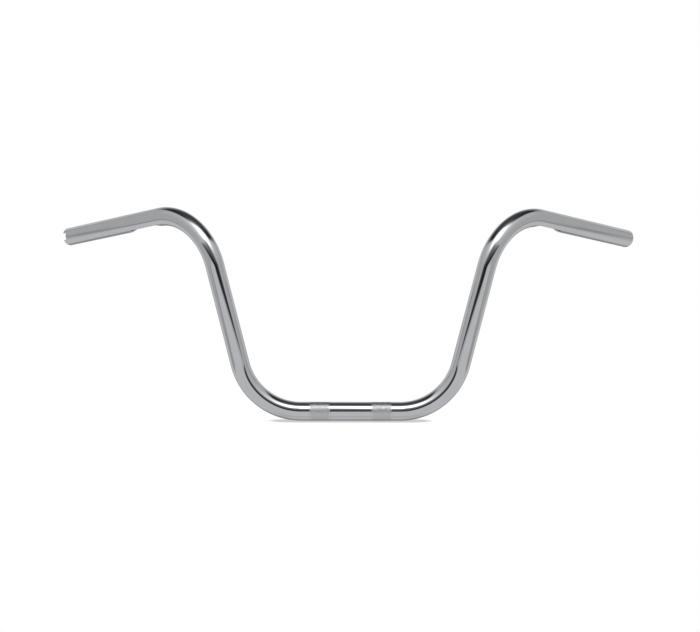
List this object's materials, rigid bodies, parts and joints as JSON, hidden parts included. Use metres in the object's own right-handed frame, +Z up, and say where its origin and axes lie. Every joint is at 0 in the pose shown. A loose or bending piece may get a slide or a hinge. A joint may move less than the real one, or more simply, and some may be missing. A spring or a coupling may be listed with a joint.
{
  "type": "motorcycle handlebar",
  "caption": "Chromed mini-ape motorcycle handlebar bent from one-inch tube, with knurled clamp bands, wire slots under swept-back grips and a notched throttle end.",
  "frame": {"origin": "on the tube's axis at the middle of the centre straight, halfway between the two knurled clamp bands", "axes": "+X to the rider's left (clutch side), along the centre straight; +Y to the rear, towards the rider, the way the grips sweep; +Z up, in the plane of the risers"},
  "size_m": [0.8334, 0.1902, 0.2869],
  "materials": {
    "chrome_tube": "polished",
    "knurled_chrome": "satin"
  },
  "bodies": {
    "root": {"bar_tube": "chrome_tube", "clutch_side_knurl": "knurled_chrome", "throttle_side_knurl": "knurled_chrome"}
  },
  "joints": []
}
